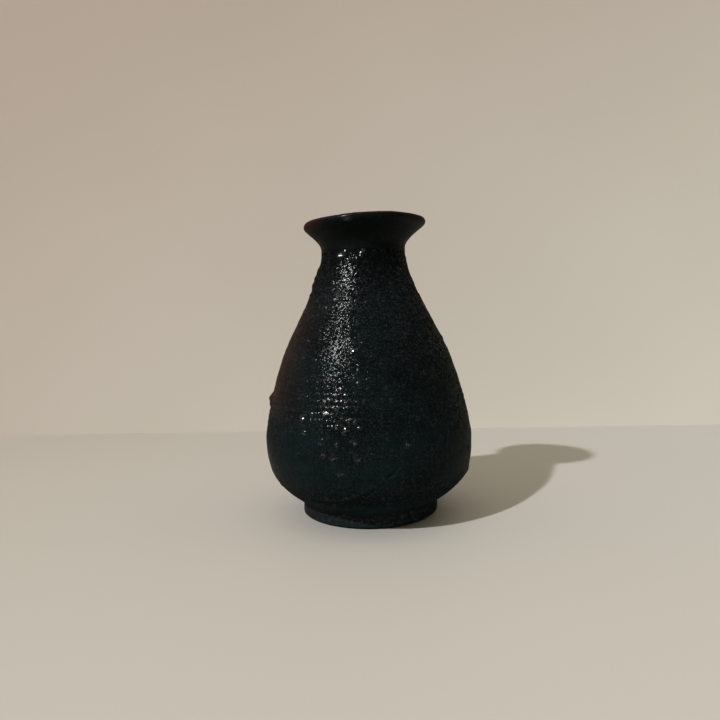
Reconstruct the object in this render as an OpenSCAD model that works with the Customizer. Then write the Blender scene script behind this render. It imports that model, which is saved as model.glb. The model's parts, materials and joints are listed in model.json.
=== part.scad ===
// Thrown stoneware vase: a luted foot ring, a pear-shaped body and a flared mouth collar,
// joined with slip and covered by three coats of glaze. Sizes are those of the fired clay,
// and the glaze adds its own thickness. The axis is +Z and the pot stands on z = 0.

/* [Foot] */
// Outer radius of the foot ring
foot_r = 25.7; // [22:0.1:29]
// Height of the foot ring above the table
foot_h = 5; // [3:0.1:8]
// Width of the ring of clay that stands on the table
foot_band = 6.2; // [4:0.1:10]
// Width of the bevel trimmed on the foot's outer lower edge
foot_bevel = 0.7; // [0.3:0.1:1]

/* [Body] */
// Largest radius of the belly
belly_r = 39.4; // [34:0.1:46]
// Height of the belly's widest line above the table
belly_z = 28.8; // [25:0.1:36]
// Radius of the shoulder halfway up
shoulder_r = 30.1; // [26:0.1:33]
// Height of that point of the shoulder above the table
shoulder_z = 64.6; // [56:0.1:72]
// Slope of the shoulder there, from the vertical
shoulder_slope = 24.7; // [18:0.1:30]
// Radius of the throat, the narrowest part of the neck
throat_r = 15.6; // [13:0.1:19]
// Height of the throat above the table
throat_z = 100.8; // [94:0.1:112]
// Angle at which the underside leaves the foot, from the horizontal
underside_angle = 34; // [26:0.5:44]
// Thickness of the thrown wall
wall_t = 4.4; // [3:0.1:6]
// Thickness of the thrown floor
floor_t = 4.2; // [3:0.1:7]

/* [Mouth] */
// Outer radius of the lip
lip_r = 22.6; // [20:0.1:26]
// Height of the lip above the throat
lip_h = 10.7; // [9:0.1:14]
// Radius of the rounded edge of the lip
lip_round = 0.8; // [0.4:0.05:1.2]
// Angle of the flare under the lip, from the horizontal
flare_angle = 46; // [38:0.5:54]
// Angle of the funnel inside the lip, from the horizontal
funnel_angle = 54; // [46:0.5:62]

/* [Fullness of the curves] */
// How far the underside runs on before it turns up
underside_full = 0.43; // [0.3:0.01:0.5]
// How far the belly stays upright below its widest line
belly_low_full = 0.51; // [0.35:0.01:0.6]
// How far the belly stays upright above its widest line
belly_high_full = 0.16; // [0.1:0.01:0.3]
// How far the shoulder keeps its slope below its halfway point
shoulder_low_full = 0.31; // [0.2:0.01:0.4]
// How far the shoulder keeps its slope above its halfway point
shoulder_high_full = 0.38; // [0.25:0.01:0.45]
// How far the neck stays upright below the throat
throat_full = 0.27; // [0.2:0.01:0.4]
// How far the flare stays upright above the throat
flare_low_full = 0.34; // [0.2:0.01:0.45]
// How far the flare keeps its angle below the lip
flare_high_full = 0.34; // [0.2:0.01:0.45]
// How far the floor stays level before the inside wall rises
floor_full = 0.6; // [0.45:0.01:0.7]
// How far the inside wall runs down towards the floor before it turns
heel_full = 0.75; // [0.5:0.01:0.9]

/* [Throwing by hand] */
// Lean of the body towards -X
body_lean = 0.85; // [0:0.05:1.2]
// Tilt of the mouth collar on the body
mouth_tilt = 1.3; // [0:0.1:3]
// Direction in which the mouth rises, from +X towards +Y
mouth_rise = 10; // [0:5:355]

/* [Slip and glaze] */
// Thickness of the slip in the luted joints
slip_t = 0.4; // [0.2:0.05:0.8]
// Leg of the slip bead pressed into the corner inside the foot
slip_bead = 1.2; // [0.6:0.1:2]
// Thickness of the glaze
glaze_t = 0.6; // [0.3:0.05:0.8]
// Height of bare clay left above the table
bare_h = 1.2; // [0.8:0.1:2]

/* [Hidden] */
$fn = 128;

curve_steps = 12;
arc_steps = 10;
heel_step = 6;

clay_colour = "#5a3a2b";
slip_colour = "#6d4a38";
body_glaze_colour = "#15191a";
mouth_glaze_colour = "#221a18";
inner_glaze_colour = "#1a1c1c";

foot_in = foot_r - foot_band;
base_z = foot_h + slip_t;
floor_z = base_z + floor_t;
bore_r = throat_r - wall_t;
// The tilted joint at the throat needs this much straight neck to be cut from
neck_spare = throat_r * tan(mouth_tilt) + 1;
// The leaning foot is thrown this much too deep, then cut level with the table
foot_spare = foot_r * tan(body_lean) + 1;
// Half the side of a block that is larger than the pot
reach = throat_z + lip_h + belly_r;

// A curve is a list of stations, each a point [radius, height] and the direction of travel there.
function lerp(a, b, t) = a + (b - a) * t;
function unit(v) = v / norm(v);
function heading(angle) = [cos(angle), sin(angle)];
function to_right(d) = [d[1], -d[0]];
function mid_point(a, b, c, d, t) =
    let (ab = lerp(a, b, t), bc = lerp(b, c, t), cd = lerp(c, d, t))
    lerp(lerp(ab, bc, t), lerp(bc, cd, t), t);
function mid_heading(a, b, c, d, t) =
    unit((1 - t) * (1 - t) * (b - a) + 2 * t * (1 - t) * (c - b) + t * t * (d - c));

// Curve from one point to another, leaving and arriving along the given headings.
// The fullness is the length of each pull, as a share of the straight distance.
function sweep(from, leave, leave_full, to, arrive, arrive_full) =
    let (span = norm(to - from),
         b = from + leave * leave_full * span,
         c = to - arrive * arrive_full * span)
    [for (i = [0:curve_steps])
        [mid_point(from, b, c, to, i / curve_steps), mid_heading(from, b, c, to, i / curve_steps)]];

function arc(centre, radius, start, end) =
    [for (i = [0:arc_steps])
        let (a = lerp(start, end, i / arc_steps))
        [centre + radius * heading(a), heading(a + 90)]];

function after_first(list) = [for (i = [1:len(list) - 1]) list[i]];
function reversed(list) = [for (i = [len(list) - 1:-1:0]) list[i]];
function points(curve) = [for (s = curve) s[0]];
function moved_right(curve, t) = [for (s = curve) s[0] + t * to_right(s[1])];

// Outside of the body, from the foot joint up to the throat
up = [0, 1];
shoulder_heading = heading(90 + shoulder_slope);
belly_point = [belly_r, belly_z];
shoulder_point = [shoulder_r, shoulder_z];
underside = sweep([foot_r, base_z], heading(underside_angle), underside_full,
                  belly_point, up, belly_low_full);
belly_wall = sweep(belly_point, up, belly_high_full,
                   shoulder_point, shoulder_heading, shoulder_low_full);
neck_wall = sweep(shoulder_point, shoulder_heading, shoulder_high_full,
                  [throat_r, throat_z], up, throat_full);
body_outside = concat(underside, after_first(belly_wall), after_first(neck_wall));

// Inside of the body: a level floor that sweeps up into the wall at the heel of the underside
wall_inside = moved_right(body_outside, -wall_t);
heel_point = wall_inside[heel_step];
heel_heading = body_outside[heel_step][1];
floor_point = [0, floor_z];
heel_drop = (heel_point[1] - floor_z) / heel_heading[1];
heel_curve = sweep(floor_point, [1, 0], floor_full,
                   heel_point, heel_heading, heel_full * heel_drop / norm(heel_point - floor_point));
hollow = concat(heel_curve,
                [for (i = [heel_step + 1:len(body_outside) - 1])
                    [wall_inside[i], body_outside[i][1]]]);

// Mouth collar in its own frame, whose z = 0 is the joint at the throat: flare, lip and funnel
lip_centre = [lip_r - lip_round, lip_h - lip_round];
flare = sweep([throat_r, slip_t], up, flare_low_full,
              lip_centre + lip_round * heading(flare_angle - 90), heading(flare_angle), flare_high_full);
lip = arc(lip_centre, lip_round, flare_angle - 90, 90 + funnel_angle);
funnel = sweep(lip_centre + lip_round * heading(90 + funnel_angle), -heading(funnel_angle), flare_high_full,
               [bore_r, slip_t], -up, throat_full);
mouth_outside = concat(flare, after_first(lip), after_first(funnel));

// The glaze fills the corner between the foot's side and the underside
corner_z = base_z - glaze_t * (1 - sin(underside_angle)) / cos(underside_angle);

// Leaning frame of the pot, turned about the centre of the belly
module leaning() {
    translate([0, 0, belly_z]) rotate([0, -body_lean, 0]) translate([0, 0, -belly_z]) children();
}

// Frame of the mouth collar on the leaning pot
module at_mouth() {
    leaning() translate([0, 0, throat_z])
        rotate([0, 0, mouth_rise]) rotate([0, -mouth_tilt, 0]) rotate([0, 0, -mouth_rise]) children();
}

module below_mouth_joint() {
    difference() {
        leaning() children();
        at_mouth() translate([-reach, -reach, 0]) cube(2 * reach);
    }
}

module foot_ring() {
    color(clay_colour) difference() {
        leaning() rotate_extrude() polygon([
            [foot_in, -foot_spare],
            [foot_r - foot_bevel - foot_spare, -foot_spare],
            [foot_r, foot_bevel],
            [foot_r, foot_h],
            [foot_in, foot_h]]);
        translate([-reach, -reach, -2 * reach]) cube(2 * reach);
    }
}

module foot_slip_seam() {
    color(slip_colour) leaning() rotate_extrude() polygon([
        [foot_in, foot_h - slip_bead],
        [foot_in, foot_h],
        [foot_r, foot_h],
        [foot_r, base_z],
        [foot_in - slip_bead, base_z]]);
}

module body() {
    color(clay_colour) below_mouth_joint() rotate_extrude() polygon(concat(
        [[0, base_z]],
        points(body_outside),
        [[throat_r, throat_z + neck_spare], [bore_r, throat_z + neck_spare]],
        reversed(points(hollow))));
}

module neck_slip_seam() {
    color(slip_colour) at_mouth() rotate_extrude()
        translate([bore_r, 0]) square([wall_t, slip_t]);
}

module mouth_collar() {
    color(clay_colour) at_mouth() rotate_extrude() polygon(points(mouth_outside));
}

// Coat on the foot's side and the outside of the body, up to the throat
module body_glaze() {
    color(body_glaze_colour) below_mouth_joint() rotate_extrude() polygon(concat(
        [[foot_r, bare_h]],
        points(body_outside),
        [[throat_r, throat_z + neck_spare], [throat_r + glaze_t, throat_z + neck_spare]],
        reversed(after_first(moved_right(body_outside, glaze_t))),
        [[foot_r + glaze_t, corner_z], [foot_r + glaze_t, bare_h]]));
}

// Second dip, over the flare, the lip and the funnel
module mouth_glaze() {
    color(mouth_glaze_colour) at_mouth() rotate_extrude() polygon(concat(
        [[throat_r, 0]],
        points(mouth_outside),
        [[bore_r, 0], [bore_r - glaze_t, 0]],
        reversed(moved_right(mouth_outside, glaze_t)),
        [[throat_r + glaze_t, 0]]));
}

// Lining poured into the hollow
module inner_glaze() {
    color(inner_glaze_colour) below_mouth_joint() rotate_extrude() polygon(concat(
        points(hollow),
        [[bore_r, throat_z + neck_spare], [bore_r - glaze_t, throat_z + neck_spare]],
        reversed(moved_right(hollow, -glaze_t))));
}

foot_ring();
foot_slip_seam();
body();
neck_slip_seam();
mouth_collar();
body_glaze();
mouth_glaze();
inner_glaze();
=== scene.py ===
"""Thrown stoneware vase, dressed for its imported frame.

The clay, the slip and the three coats of glaze are spun on the same sizes as the solids, then given
the unevenness that hands, tools and the kiln left on the pot. Sizes are in millimetres and angles in
degrees; only finished meshes, lights and the camera are in metres.
"""

import json
import logging
import math
from dataclasses import dataclass
from enum import Enum
from typing import Sequence

import bpy
import numpy as np
from mathutils import Matrix, Vector

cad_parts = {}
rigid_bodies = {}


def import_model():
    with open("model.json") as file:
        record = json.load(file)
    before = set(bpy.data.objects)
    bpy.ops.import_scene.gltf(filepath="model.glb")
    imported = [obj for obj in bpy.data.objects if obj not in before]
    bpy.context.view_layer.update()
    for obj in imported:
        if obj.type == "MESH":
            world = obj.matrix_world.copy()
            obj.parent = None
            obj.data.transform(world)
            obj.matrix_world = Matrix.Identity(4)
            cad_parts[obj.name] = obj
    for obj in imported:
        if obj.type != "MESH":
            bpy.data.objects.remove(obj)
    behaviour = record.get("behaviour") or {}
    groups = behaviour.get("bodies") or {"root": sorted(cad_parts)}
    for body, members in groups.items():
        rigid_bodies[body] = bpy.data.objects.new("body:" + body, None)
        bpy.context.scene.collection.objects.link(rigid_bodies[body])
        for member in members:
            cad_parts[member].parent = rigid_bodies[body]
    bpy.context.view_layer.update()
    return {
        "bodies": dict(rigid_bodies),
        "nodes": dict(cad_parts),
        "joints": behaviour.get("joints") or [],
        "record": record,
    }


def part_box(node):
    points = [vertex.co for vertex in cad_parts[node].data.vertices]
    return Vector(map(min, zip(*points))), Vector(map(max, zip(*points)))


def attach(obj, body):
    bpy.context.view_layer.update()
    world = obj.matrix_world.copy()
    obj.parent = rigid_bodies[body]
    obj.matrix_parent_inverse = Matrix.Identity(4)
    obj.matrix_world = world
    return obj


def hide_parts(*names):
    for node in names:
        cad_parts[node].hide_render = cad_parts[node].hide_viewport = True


MM = 0.001
SHOWN = "shown"
GLASS_IOR = 2.2
PLAIN_GLOSS = 0.3
FINE_SHARE = 0.45
BEAD_SHARE = 1.8
COAT_DRIFT = 16.0
CLAY_DRIFT = 9.0
WELD = 0.004
SAME_PLACE = 1e-4
CURVE_STEPS = 64
Colour = tuple[float, float, float]
log = logging.getLogger("vase")


class Tone(Enum):
    """What a coat of glaze keeps at each of its vertices, for its material to read."""

    SATIN = "satin"
    DRY = "dry"
    COOL = "cool"
    THICK = "thick"
    # Rust, and on the body's lamp side also a painted sheen of grazing light.
    RUST_AND_SHEEN = "rust_and_sheen"
    WET = "wet"
    SPARK = "spark"

    @property
    def usual(self) -> float:
        """Value where a coat says nothing of the tone."""
        return 1.0 if self is Tone.SPARK else 0.0


def heading(angle: float) -> np.ndarray:
    """Unit direction [outward, upward] at an angle from the horizontal."""
    return np.array([math.cos(math.radians(angle)), math.sin(math.radians(angle))])


def ease(t: np.ndarray) -> np.ndarray:
    """Smooth step from 0 to 1 as t goes from 0 to 1."""
    t = np.clip(t, 0.0, 1.0)
    return t * t * (3.0 - 2.0 * t)


def bell(distance: np.ndarray, width: float) -> np.ndarray:
    """Bell curve of a distance, one at 0 and about a third at the width."""
    return np.exp(-((distance / width) ** 2))


def turn_gap(turn: np.ndarray, centre: float) -> np.ndarray:
    """Signed angle from a centre, in degrees between -180 and 180."""
    return (turn - centre + 180.0) % 360.0 - 180.0


def fade(value: np.ndarray, start: float, full: float) -> np.ndarray:
    """Smooth step of a value, from 0 at its start to 1 where it is full."""
    return ease((value - start) / (full - start))


def even_steps(points: np.ndarray, step: float) -> np.ndarray:
    """Points at even steps along a line.

    Args:
        points: Corners of the line, one row [radius, height] each.
        step: Distance between neighbouring points.

    Returns:
        The points, both ends included.
    """
    run = np.concatenate([[0.0], np.cumsum(np.linalg.norm(np.diff(points, axis=0), axis=1))])
    even = np.linspace(0.0, run[-1], max(2, int(round(run[-1] / step)) + 1))
    return np.stack([np.interp(even, run, points[:, k]) for k in (0, 1)], axis=-1)


def turn_and_radius(places: np.ndarray) -> tuple[np.ndarray, np.ndarray]:
    """Direction of each place from the axis, in degrees, and its distance from it."""
    across, deep = places[:, 0], places[:, 1]
    return np.degrees(np.arctan2(deep, across)), np.hypot(across, deep)


@dataclass(frozen=True)
class Curve:
    """A drawn line of the pot: points [radius, height] with the direction of travel at each."""

    points: np.ndarray
    headings: np.ndarray

    def then(self, other: "Curve") -> "Curve":
        """This curve followed by another that starts where it ends."""
        return Curve(
            np.concatenate([self.points, other.points[1:]]),
            np.concatenate([self.headings, other.headings[1:]]),
        )

    def moved_right(self, distance: float) -> "Curve":
        """The curve moved sideways, to the right of its travel."""
        right = np.stack([self.headings[:, 1], -self.headings[:, 0]], axis=-1)
        return Curve(self.points + distance * right, self.headings)

    def reversed(self) -> "Curve":
        """The same line travelled the other way."""
        return Curve(self.points[::-1], -self.headings[::-1])

    def stepped(self, step: float) -> np.ndarray:
        """Points at even steps along the curve, both ends included."""
        return even_steps(self.points, step)


def sweep(start: Sequence[float], leave: np.ndarray, leave_full: float,
          end: Sequence[float], arrive: np.ndarray, arrive_full: float) -> Curve:
    """Curve between two points that leaves and arrives along given headings.

    Args:
        start: First point.
        leave: Heading at the first point.
        leave_full: Pull at the first point, as a share of the straight distance.
        end: Last point.
        arrive: Heading at the last point.
        arrive_full: Pull at the last point, as a share of the straight distance.

    Returns:
        The curve.
    """
    a, d = np.asarray(start, float), np.asarray(end, float)
    span = np.linalg.norm(d - a)
    b, c = a + leave * leave_full * span, d - arrive * arrive_full * span
    t = np.linspace(0.0, 1.0, CURVE_STEPS + 1)[:, None]
    points = (1 - t) ** 3 * a + 3 * (1 - t) ** 2 * t * b + 3 * (1 - t) * t**2 * c + t**3 * d
    along = (1 - t) ** 2 * (b - a) + 2 * t * (1 - t) * (c - b) + t**2 * (d - c)
    return Curve(points, along / np.linalg.norm(along, axis=1)[:, None])


@dataclass(frozen=True)
class PotSizes:
    """Driving sizes of the fired pot, the same as those of its solids.

    A name that ends in _r is a radius, in _z a height above the table, in _h the height of a piece and in _t
    a thickness. A name that ends in _full is the pull of a curve at one of its ends, as a share of the
    straight distance to the other.
    """

    foot_r: float = 25.7
    foot_h: float = 5.0
    foot_band: float = 6.2
    foot_bevel: float = 0.7
    belly_r: float = 39.4
    belly_z: float = 28.8
    shoulder_r: float = 30.1
    shoulder_z: float = 64.6
    shoulder_slope: float = 24.7
    throat_r: float = 15.6
    throat_z: float = 100.8
    underside_angle: float = 34.0
    wall_t: float = 4.4
    floor_t: float = 4.2
    lip_r: float = 22.6
    lip_h: float = 10.7
    lip_round: float = 0.8
    flare_angle: float = 46.0
    funnel_angle: float = 54.0
    underside_full: float = 0.43
    belly_low_full: float = 0.51
    belly_high_full: float = 0.16
    shoulder_low_full: float = 0.31
    shoulder_high_full: float = 0.38
    throat_full: float = 0.27
    flare_low_full: float = 0.34
    flare_high_full: float = 0.34
    floor_full: float = 0.6
    heel_full: float = 0.75
    heel_share: float = 0.5
    body_lean: float = 0.85
    mouth_tilt: float = 1.3
    mouth_rise: float = 10.0
    slip_t: float = 0.4
    slip_bead: float = 1.2
    glaze_t: float = 0.6

    @property
    def foot_in(self) -> float:
        """Inner radius of the foot ring."""
        return self.foot_r - self.foot_band

    @property
    def base_z(self) -> float:
        """Height of the body's underside."""
        return self.foot_h + self.slip_t

    @property
    def bore_r(self) -> float:
        """Radius of the clay inside the throat."""
        return self.throat_r - self.wall_t

    @property
    def lean_frame(self) -> Matrix:
        """Leaning frame of the pot, turned about the centre of the belly."""
        up = Matrix.Translation((0, 0, self.belly_z))
        return up @ Matrix.Rotation(math.radians(-self.body_lean), 4, "Y") @ up.inverted()

    @property
    def mouth_frame(self) -> Matrix:
        """Frame of the mouth collar.

        Returns:
            The frame, whose z = 0 is the joint at the throat.
        """
        turn = Matrix.Rotation(math.radians(self.mouth_rise), 4, "Z")
        tilt = turn @ Matrix.Rotation(math.radians(-self.mouth_tilt), 4, "Y") @ turn.inverted()
        return self.lean_frame @ Matrix.Translation((0, 0, self.throat_z)) @ tilt

    def body_outside(self) -> Curve:
        """Draws the outside of the clay body.

        Returns:
            The curve from the foot joint to the throat.
        """
        up, slope = heading(90), heading(90 + self.shoulder_slope)
        belly, shoulder = (self.belly_r, self.belly_z), (self.shoulder_r, self.shoulder_z)
        under = sweep((self.foot_r, self.base_z), heading(self.underside_angle), self.underside_full,
                      belly, up, self.belly_low_full)
        wall = sweep(belly, up, self.belly_high_full, shoulder, slope, self.shoulder_low_full)
        neck = sweep(shoulder, slope, self.shoulder_high_full,
                     (self.throat_r, self.throat_z), up, self.throat_full)
        return under.then(wall).then(neck)

    def hollow(self) -> Curve:
        """Draws the inside of the clay body.

        Returns:
            The curve from the middle of the floor to the throat.
        """
        outside = self.body_outside()
        wall = outside.moved_right(-self.wall_t)
        heel = int(round(self.heel_share * CURVE_STEPS))
        floor = np.array([0.0, self.base_z + self.floor_t])
        drop = (wall.points[heel][1] - floor[1]) / wall.headings[heel][1]
        pull = self.heel_full * drop / np.linalg.norm(wall.points[heel] - floor)
        rise = sweep(floor, heading(0), self.floor_full, wall.points[heel], wall.headings[heel], pull)
        return rise.then(Curve(wall.points[heel:], wall.headings[heel:]))

    def mouth_outside(self) -> Curve:
        """Draws the clay of the mouth in its own frame.

        Returns:
            The curve up the flare, over the rounded lip and down the funnel.
        """
        centre = np.array([self.lip_r - self.lip_round, self.lip_h - self.lip_round])
        low, high = self.flare_angle - 90, 90 + self.funnel_angle
        flare = sweep((self.throat_r, self.slip_t), heading(90), self.flare_low_full,
                      centre + self.lip_round * heading(low), heading(self.flare_angle),
                      self.flare_high_full)
        angles = np.linspace(low, high, 33)
        lip = Curve(np.stack([centre + self.lip_round * heading(a) for a in angles]),
                    np.stack([heading(a + 90) for a in angles]))
        funnel = sweep(lip.points[-1], -heading(self.funnel_angle), self.flare_high_full,
                       (self.bore_r, self.slip_t), heading(-90), self.throat_full)
        return flare.then(lip).then(funnel)


@dataclass(frozen=True)
class Section:
    """Closed section of a spun piece.

    Attributes:
        points: Corners [radius, height], in order round the section.
        shown: How far each corner belongs to the skin that is seen, from 0 to 1.
    """

    points: np.ndarray
    shown: np.ndarray

    @classmethod
    def joined(cls, *runs: tuple[np.ndarray, float]) -> "Section":
        """Section made of runs of points, each with its own share of skin.

        Args:
            runs: Points of a run, and the share of skin of all of them.

        Returns:
            The section, with corners shared by two runs kept once.
        """
        points: list[np.ndarray] = []
        shown: list[float] = []
        for run, share in runs:
            for point in run:
                if points and np.linalg.norm(points[-1] - point) < SAME_PLACE:
                    shown[-1] = min(shown[-1], share)
                    continue
                points.append(np.asarray(point, float))
                shown.append(share)
        if np.linalg.norm(points[0] - points[-1]) < SAME_PLACE:
            points.pop()
            shown.pop()
        return cls(np.array(points), np.array(shown))


def spun(name: str, section: Section, frame: Matrix, columns: int) -> bpy.types.Object:
    """Spins a closed section about the axis of a frame.

    Args:
        name: Name of the piece.
        section: Section in the frame, in millimetres.
        frame: Frame whose Z is the axis, in millimetres.
        columns: Number of steps round the axis.

    Returns:
        The closed piece, with the skin in its vertex group.
    """
    bpy.ops.object.select_all(action="DESELECT")
    bpy.ops.mesh.primitive_circle_add(vertices=len(section.points), radius=MM, fill_type="NOTHING")
    piece = bpy.context.object
    piece.name = piece.data.name = name
    for vertex, (radius, height) in zip(piece.data.vertices, section.points):
        vertex.co = (frame @ Vector((radius, 0.0, height))) * MM
    skin = piece.vertex_groups.new(name=SHOWN)
    for index, share in enumerate(section.shown):
        skin.add([index], float(share), "REPLACE")
    bpy.ops.object.mode_set(mode="EDIT")
    bpy.ops.mesh.select_all(action="SELECT")
    bpy.ops.mesh.spin(steps=columns, angle=math.tau, center=frame.translation * MM,
                      axis=frame.to_3x3() @ Vector((0, 0, 1)))
    bpy.ops.mesh.select_all(action="SELECT")
    bpy.ops.mesh.remove_doubles(threshold=WELD * MM)
    bpy.ops.mesh.delete_loose()
    bpy.ops.mesh.select_all(action="SELECT")
    bpy.ops.mesh.normals_make_consistent(inside=False)
    bpy.ops.object.mode_set(mode="OBJECT")
    bpy.ops.object.shade_smooth()
    return piece


def corners(piece: bpy.types.Object, frame: Matrix) -> np.ndarray:
    """Vertices of a piece in a frame.

    Args:
        piece: Piece whose vertices are read.
        frame: Frame they are wanted in, in millimetres.

    Returns:
        One row [x, y, z] a vertex, in millimetres.
    """
    flat = np.empty(len(piece.data.vertices) * 3, np.float32)
    piece.data.vertices.foreach_get("co", flat)
    back = np.array(frame.inverted())
    return (flat.reshape(-1, 3).astype(float) / MM) @ back[:3, :3].T + back[:3, 3]


def set_corners(piece: bpy.types.Object, frame: Matrix, places: np.ndarray) -> None:
    """Moves the vertices of a piece to places given in a frame.

    Args:
        piece: Piece whose vertices move.
        frame: Frame the places are in, in millimetres.
        places: One row [x, y, z] a vertex, in millimetres.
    """
    out = np.array(frame)
    world = (places @ out[:3, :3].T + out[:3, 3]) * MM
    piece.data.vertices.foreach_set("co", world.astype(np.float32).ravel())
    piece.data.update()


def skin_share(piece: bpy.types.Object) -> np.ndarray:
    """Share of each vertex in the skin that is seen."""
    return np.array([vertex.groups[0].weight for vertex in piece.data.vertices])


def keep_group(piece: bpy.types.Object, name: str, amount: np.ndarray, levels: int = 24) -> str:
    """Keeps an amount a vertex on a piece as a vertex group, in even levels.

    Args:
        piece: Piece that the group is for.
        name: Name of the group.
        amount: Amount at each vertex, from 0 to 1.
        levels: Number of levels.

    Returns:
        The name of the group.
    """
    group = piece.vertex_groups.new(name=name)
    level = np.rint(np.clip(amount, 0.0, 1.0) * levels).astype(int)
    for step in range(1, levels + 1):
        group.add(np.nonzero(level == step)[0].tolist(), step / levels, "REPLACE")
    return name


def outward(piece: bpy.types.Object, frame: Matrix) -> np.ndarray:
    """Normals of a piece in the directions of a frame.

    Args:
        piece: Piece whose normals are read.
        frame: Frame that they are wanted in.

    Returns:
        One row [x, y, z] a vertex.
    """
    flat = np.empty(len(piece.data.vertices) * 3, np.float32)
    piece.data.vertex_normals.foreach_get("vector", flat)
    return flat.reshape(-1, 3) @ np.array(frame.to_3x3())


def press(piece: bpy.types.Object, size: float, depth: float, group: str) -> None:
    """Presses a cloudy relief into a piece with a displacement that is then applied.

    Args:
        piece: Piece to press.
        size: Size of the clouds.
        depth: Height between the lowest and highest places.
        group: Vertex group that says where it goes.
    """
    relief = bpy.data.textures.new(f"{piece.name}_relief", "CLOUDS")
    relief.noise_scale = size * MM
    relief.noise_depth = 2
    bpy.ops.object.select_all(action="DESELECT")
    piece.select_set(True)
    bpy.context.view_layer.objects.active = piece
    modifier = piece.modifiers.new("relief", "DISPLACE")
    modifier.texture = relief
    modifier.texture_coords = "LOCAL"
    modifier.direction = "NORMAL"
    modifier.vertex_group = group
    modifier.mid_level = 0.5
    modifier.strength = depth * MM
    bpy.ops.object.modifier_apply(modifier=modifier.name)
    bpy.data.textures.remove(relief)


def keep_tones(piece: bpy.types.Object, tones: dict[Tone, np.ndarray]) -> None:
    """Keeps the tones of a coat at its vertices.

    Args:
        piece: Coat of glaze.
        tones: One value a vertex for each tone that the coat has; the other tones stay as usual.
    """
    for tone in Tone:
        values = tones.get(tone, np.full(len(piece.data.vertices), tone.usual))
        attribute = piece.data.attributes.new(tone.value, "FLOAT", "POINT")
        attribute.data.foreach_set("value", values.astype(np.float32))


@dataclass(frozen=True)
class Dab:
    """A lump, pit or flat place on the wall.

    Attributes:
        turn: Direction from the axis, from +X towards +Y.
        height: Height on the axis.
        wide: Half width round the pot.
        tall: Half height.
        rise: How far it stands out, or in where negative.
    """

    turn: float
    height: float
    wide: float
    tall: float
    rise: float

    def lift(self, turn: np.ndarray, height: np.ndarray, radius: np.ndarray) -> np.ndarray:
        """How far the dab moves each point outwards.

        Args:
            turn: Direction of each point from the axis.
            height: Height of each point.
            radius: Distance of each point from the axis.

        Returns:
            The rise at each point.
        """
        lift = np.zeros_like(height)
        near = np.abs(height - self.height) < 3.0 * self.tall
        across = np.radians(turn_gap(turn[near], self.turn)) * radius[near]
        lift[near] = self.rise * bell(across, self.wide) * bell(height[near] - self.height, self.tall)
        return lift


@dataclass(frozen=True)
class Stroke:
    """A ridge or gouge drawn along a line on the wall.

    Attributes:
        line: Places (turn, height) that it passes through.
        wide: Half width.
        rise: How far it stands out, or in where negative.
    """

    line: tuple[tuple[float, float], ...]
    wide: float
    rise: float

    def lift(self, turn: np.ndarray, height: np.ndarray, radius: np.ndarray) -> np.ndarray:
        """How far the stroke moves each point outwards.

        Args:
            turn: Direction of each point from the axis.
            height: Height of each point.
            radius: Distance of each point from the axis.

        Returns:
            The rise at each point.
        """
        low = min(h for _, h in self.line) - 4 * self.wide
        high = max(h for _, h in self.line) + 4 * self.wide
        near = (height > low) & (height < high)
        middle = float(np.mean([t for t, _ in self.line]))
        across = np.radians(turn_gap(turn[near], middle)) * radius[near]
        places = np.stack([across, height[near]], axis=-1)
        mean_r = float(np.mean(radius[near]))
        nearest = np.full(len(places), 1e9)
        for (t0, h0), (t1, h1) in zip(self.line, self.line[1:]):
            a = np.array([math.radians(t0 - middle) * mean_r, h0])
            b = np.array([math.radians(t1 - middle) * mean_r, h1])
            along = np.clip((places - a) @ (b - a) / np.dot(b - a, b - a), 0.0, 1.0)
            nearest = np.minimum(nearest, np.linalg.norm(places - a - along[:, None] * (b - a), axis=1))
        lift = np.zeros_like(height)
        lift[near] = self.rise * bell(nearest, self.wide)
        return lift


@dataclass(frozen=True)
class Flake:
    """A run of glaze that ends in a small flat face.

    Attributes:
        turn: Direction of its face from the axis.
        height: Height of the middle of its face.
        wide: Half width of the face.
        tall: Half height of the face.
        rise: How far the middle of the face stands out.
        tip: Slope of the face, upwards and to the right.
    """

    turn: float
    height: float
    wide: float
    tall: float
    rise: float
    tip: tuple[float, float]

    def lift(self, turn: np.ndarray, height: np.ndarray, radius: np.ndarray) -> np.ndarray:
        """How far the flake moves each point outwards, so that its face comes out flat.

        Args:
            turn: Direction of each point from the axis.
            height: Height of each point.
            radius: Distance of each point from the axis.

        Returns:
            The rise at each point.
        """
        across = np.radians(turn_gap(turn, self.turn)) * radius
        up = height - self.height
        face = self.rise - self.tip[0] * up - self.tip[1] * across + across**2 / (2.0 * radius)
        return np.maximum(face, 0.0) * self.cover(turn, height, radius)

    def cover(self, turn: np.ndarray, height: np.ndarray, radius: np.ndarray) -> np.ndarray:
        """Share of each point that the flake covers, from 0 to 1."""
        across = np.radians(turn_gap(turn, self.turn)) * radius
        return np.exp(-((across / self.wide) ** 8)) * np.exp(-(((height - self.height) / self.tall) ** 8))


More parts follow.
